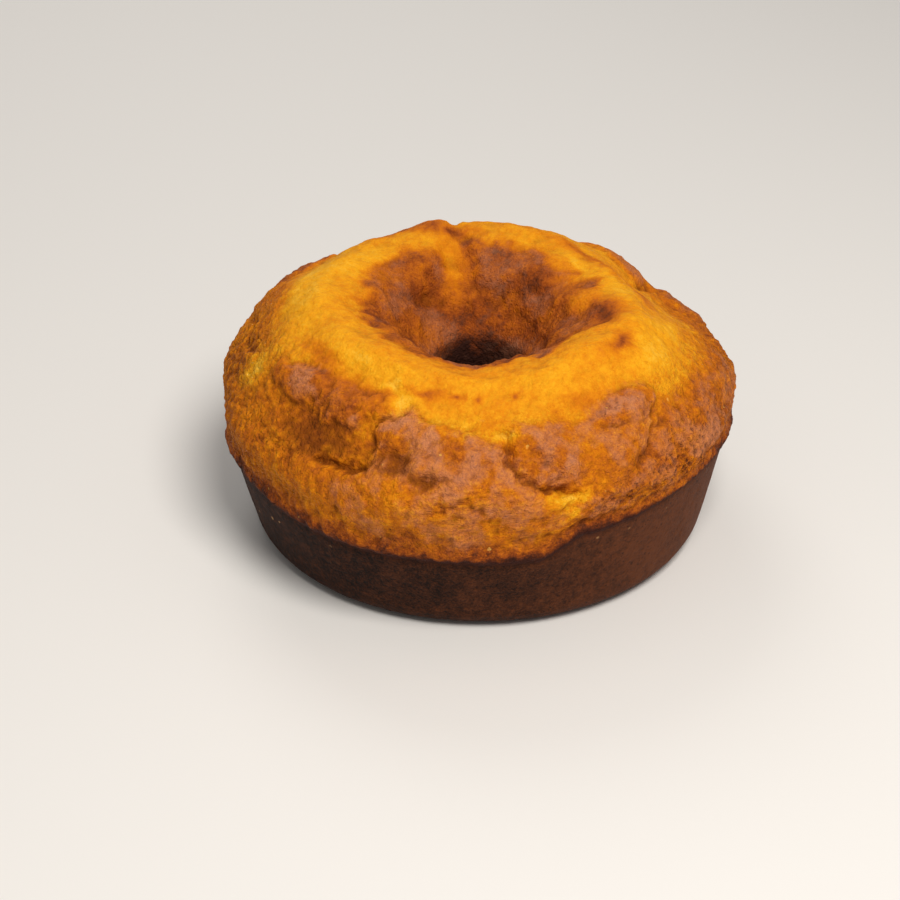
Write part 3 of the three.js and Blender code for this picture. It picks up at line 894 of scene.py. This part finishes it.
crustTones = {
    "bake": [  # from pale crumb to dark crust
        (0.0, shadeOf(250, 197, 66)),
        (0.18, shadeOf(240, 168, 22)),
        (0.34, shadeOf(226, 138, 10)),
        (0.5, shadeOf(206, 114, 8)),
        (0.62, shadeOf(186, 98, 20)),
        (0.74, shadeOf(150, 72, 20)),
        (0.87, shadeOf(96, 46, 22)),
        (1.0, shadeOf(54, 28, 20)),
    ],
    # painted sheen: the colour of the cool reflection on the smoother crust
    "haze": shadeOf(216, 146, 108),
    # the wall's pale tone, reached by its mottle and by the painted light on its right side
    "panLight": shadeOf(106, 57, 30),
    "panDeep": shadeOf(17, 6, 4),
    # painted shade in the wall's pores
    "panPore": shadeOf(24, 10, 6),
    # the rim line's brown, with painted shade under the dome's edge
    "rim": shadeOf(62, 26, 16),
    "speck": shadeOf(196, 150, 100),
    "crumb": shadeOf(240, 184, 88),
    # painted shade, laid into hollows and creases
    "shadow": shadeOf(106, 50, 3),
}
crustFinish = {
    # Noises: size in millimetres, detail, roughness
    "fine": (1.0, 3, 0.65),
    "medium": (3.4, 4, 0.6),
    "broad": (15, 4, 0.55),
    "streaks": (7, 4, 0.6),
    "streakSqueeze": (1, 1, 5),
    # Cells: size in millimetres
    "granuleSize": 2.7,
    "gritSize": 1.3,
    "poreSize": 2.6,
    "speckSize": 9,
    "cellBend": (2.4, 1.5),  # size and reach
    # How much each changes the browning. The darkening between granules and in the pores is painted shade,
    # and the paling on ridges is a painted highlight.
    "mottle": {"broad": 0.4, "medium": 0.4, "fine": 0.42, "sheenFine": 0.8, "funnelBroad": 0.35},
    "mottleLoss": {"calm": 0.4, "funnel": 0.3},
    "grain": {"least": 0.3, "sheenLoss": 0.6, "granule": 0.14, "grit": 0.14, "granuleGapShade": 0.12, "granuleGapEdge": 0.4},
    "brown": {"streak": 0.7, "pore": 0.22, "ridge": 0.08},
    # How much of a tone is laid on, and the values where that starts and is full
    "haze": {"medium": 0.7, "broad": 0.5, "ramp": (0.1, 0.95), "share": 0.6},
    "shadow": 0.75,
    "pore": {"fray": 0.5, "ramp": (0.42, 0.1)},
    "speck": {"ramp": (0.09, 0.05), "where": (0.4, 0.6), "share": 0.7},
    "pan": {"broad": 0.9, "medium": 1.5, "fine": 2, "ramp": (-0.5, 1.5)},
    "panPore": {"fray": 0.4, "ramp": (0.22, 0.05), "share": 0.7},
    "domeEdge": {"fine": 0.5, "medium": 0.4, "ramp": (0.3, 0.7)},
    "rim": {"medium": 0.7, "ramp": (0.2, 1.0), "share": 0.85},
    # Bump in millimetres
    "bump": {
        "fine": 0.8, "sheenFine": 0.6, "medium": 1.2, "pore": 1.2, "streak": 1.6, "granule": 1.8, "grit": 1.1,
    },
    "bumpOnWall": 0.45,
    "bumpCalmLoss": 0.45,
    "rough": {"least": 0.62, "fine": 0.2, "sheenLoss": 0.12},
    "specular": 0.12,
}


def makeCrust(maskNames, tones, form):
    shade = Shade("bakedCrust")
    mask = SimpleNamespace(**{name: shade.mask(name) for name in maskNames})
    where = shade.place()
    fine = shade.noise(where, *form["fine"])
    medium = shade.noise(where, *form["medium"])
    broad = shade.noise(where, *form["broad"])
    streaks = shade.noise(shade.place(form["streakSqueeze"]), *form["streaks"])
    fineSway, mediumSway, broadSway = fine - noiseMiddle, medium - noiseMiddle, broad - noiseMiddle
    bent = shade.bend(where, *form["cellBend"])
    granules = shade.cells(bent, form["granuleSize"])
    granuleTone = shade.cells(bent, form["granuleSize"], "Color")
    grit = shade.cells(bent, form["gritSize"])
    gritTone = shade.cells(bent, form["gritSize"], "Color")
    pores = shade.cells(where, form["poreSize"])
    grain = form["grain"]
    coarse = grain["least"] + (1 - grain["least"]) * mask.crumb.most(mask.pore)
    grainy = mask.dome * coarse * (1 - grain["sheenLoss"] * mask.haze)
    pore = form["pore"]
    # Painted shade in the pores, 1 deep in a pore
    poreDark = mask.pore * (pores + fineSway * pore["fray"]).ramp(*pore["ramp"])

    # Browning, mottled at three sizes, through one ramp from pale crumb to dark crust
    share, loss, brown = form["mottle"], form["mottleLoss"], form["brown"]
    mottle = broadSway * share["broad"] + mediumSway * share["medium"]
    mottle = mottle + fineSway * (share["fine"] + share["sheenFine"] * mask.haze)
    mottle = mottle * (1 - loss["calm"] * mask.calm - loss["funnel"] * mask.funnel)
    grainTone = (granuleTone - noiseMiddle) * grain["granule"] + (gritTone - noiseMiddle) * grain["grit"]
    # Painted shade between granules: darker towards each granule's edge, paler on its top
    grainTone = grainTone + (granules - grain["granuleGapEdge"]) * grain["granuleGapShade"]
    bake = mask.bake + mottle + broadSway * mask.funnel * share["funnelBroad"] + grainy * grainTone
    bake = bake + mask.streak * (noiseMiddle - streaks) * brown["streak"]
    # Painted shade darkens the pores, and the painted highlight pales the ridges
    bake = bake + poreDark * brown["pore"] - mask.ridge * brown["ridge"]
    colour = shade.node("ShaderNodeValToRGB", {"stops": tones["bake"]}, {0: bake})

    # Painted sheen: the purplish reflection laid over the smoother crust
    haze = form["haze"]
    sheenShare = (mask.haze + mediumSway * haze["medium"] + broadSway * haze["broad"]).ramp(*haze["ramp"])
    colour = shade.mix(sheenShare * haze["share"], colour, tones["haze"])
    # Painted shade: hollows and creases darkened towards deep amber
    colour = shade.mix(mask.cavity * form["shadow"], colour, tones["shadow"])
    speck = form["speck"]
    specks = shade.cells(bent, form["speckSize"]).ramp(*speck["ramp"])
    specks = specks * broad.ramp(*speck["where"]) * speck["share"]
    colour = shade.mix(specks * (1 - mask.calm) * (1 - mask.funnel), colour, tones["crumb"])

    # The pan's wall, painted paler on its right side where light falls, and the brown rim line over it,
    # darkened further as painted shade under the dome's edge
    pan, panPore = form["pan"], form["panPore"]
    panMottle = broadSway * pan["broad"] + mediumSway * pan["medium"] + fineSway * pan["fine"] + mask.panLight
    panTone = shade.mix(panMottle.ramp(*pan["ramp"]), tones["panDeep"], tones["panLight"])
    # Painted shade in the wall's pores
    panPores = (pores + fineSway * panPore["fray"]).ramp(*panPore["ramp"]) * panPore["share"]
    panTone = shade.mix(panPores, panTone, tones["panPore"])
    panTone = shade.mix(specks, panTone, tones["speck"])
    edge, rim = form["domeEdge"], form["rim"]
    onDome = (mask.dome + fineSway * edge["fine"] + mediumSway * edge["medium"]).ramp(*edge["ramp"])
    colour = shade.mix(onDome, panTone, colour)
    onRim = (mask.rim + mediumSway * rim["medium"]).ramp(*rim["ramp"]) * rim["share"]
    colour = shade.mix(onRim, colour, tones["rim"])

    bump = form["bump"]
    height = fine * (bump["fine"] + bump["sheenFine"] * mask.haze) + medium * bump["medium"]
    height = height - poreDark * bump["pore"] + mask.streak * streaks * bump["streak"]
    height = height - grainy * (granules * granules * bump["granule"] + grit * grit * bump["grit"])
    height = height * (form["bumpOnWall"] + (1 - form["bumpOnWall"]) * mask.dome)
    height = height * (1 - form["bumpCalmLoss"] * mask.calm)
    normal = shade.node("ShaderNodeBump", {}, {"Strength": 1, "Distance": mm, "Height": height})
    rough = form["rough"]["least"] + form["rough"]["fine"] * fine - form["rough"]["sheenLoss"] * mask.haze
    return shade.finish(
        Base_Color=colour, Roughness=rough, Normal=normal, Specular_IOR_Level=form["specular"],
    )


cake, cakeMasks = makeCake(cakeForm)
cake.data.materials.append(makeCrust(cakeMasks, crustTones, crustFinish))
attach(cake, "root")
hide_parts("cake")
print("crust shaded")


# Floor, light and camera

studio = {
    "floorSize": 30,
    "floorTone": (0.82, 0.82, 0.82, 1),
    "floorRough": 0.7,
    "skyTone": (1.0, 0.945, 0.89, 1),
    "skyStrength": 0.28,
    "lamps": [  # place, aim, size, power, colour
        ((0.3, -0.7, 1.15), (0, 0, 0.06), 0.6, 15.5, (1.0, 0.94, 0.86)),
        ((-0.3, 0.9, 0.9), (0, 0, 0.06), 0.7, 3.2, (1.0, 0.95, 0.88)),
    ],
    "view": "Standard",
}


def makeFloor(form):
    half = form["floorSize"] / 2
    corners = [(-half, -half, 0), (half, -half, 0), (half, half, 0), (-half, half, 0)]
    mesh = bpy.data.meshes.new("floor")
    mesh.from_pydata(corners, [], [(0, 1, 2, 3)])
    floor = bpy.data.objects.new("floor", mesh)
    bpy.context.scene.collection.objects.link(floor)
    shade = Shade("paleFloor")
    mesh.materials.append(shade.finish(Base_Color=form["floorTone"], Roughness=form["floorRough"]))


def makeLight(form):
    for number, (where, aim, size, power, colour) in enumerate(form["lamps"]):
        data = bpy.data.lights.new(f"softLamp{number}", "AREA")
        data.shape = "DISK"
        data.size, data.energy, data.color = size, power, colour
        lamp = bpy.data.objects.new(data.name, data)
        lamp.location = where
        lamp.rotation_euler = (Vector(aim) - Vector(where)).to_track_quat("-Z", "Y").to_euler()
        bpy.context.scene.collection.objects.link(lamp)
    world = bpy.data.worlds.new("softSky")
    world.use_nodes = True
    sky = world.node_tree.nodes["Background"]
    sky.inputs["Color"].default_value = form["skyTone"]
    sky.inputs["Strength"].default_value = form["skyStrength"]
    bpy.context.scene.world = world
    bpy.context.scene.view_settings.view_transform = form["view"]


photoView = {
    "aim": (0, 0, 0.05),
    "aimPixel": (478, 403),  # where the aim shows in the photograph
    "photoSide": 900,
    "distance": 1.0,
    "elevation": 30.3,
    "lens": 93.2,
    "sensor": 36,
}


def makeCamera(form):
    lift = math.radians(form["elevation"])
    aim = Vector(form["aim"])
    place = aim + form["distance"] * Vector((0, -math.cos(lift), math.sin(lift)))
    data = bpy.data.cameras.new("photoCamera")
    data.lens, data.sensor_width = form["lens"], form["sensor"]
    camera = bpy.data.objects.new("photoCamera", data)
    camera.location = place
    right, up = Vector((1, 0, 0)), Vector((0, math.sin(lift), math.cos(lift)))
    # One pixel's width at the aim, and how far the aim is from the middle of the photograph
    pixel = form["distance"] * form["sensor"] / form["lens"] / form["photoSide"]
    middle = form["photoSide"] / 2
    aimAcross, aimUp = form["aimPixel"][0] - middle, middle - form["aimPixel"][1]
    target = aim - right * aimAcross * pixel - up * aimUp * pixel
    camera.rotation_euler = (target - place).to_track_quat("-Z", "Y").to_euler()
    bpy.context.scene.collection.objects.link(camera)
    bpy.context.scene.camera = camera


makeFloor(studio)
makeLight(studio)
makeCamera(photoView)
print("studio set")

bpy.context.view_layer.update()
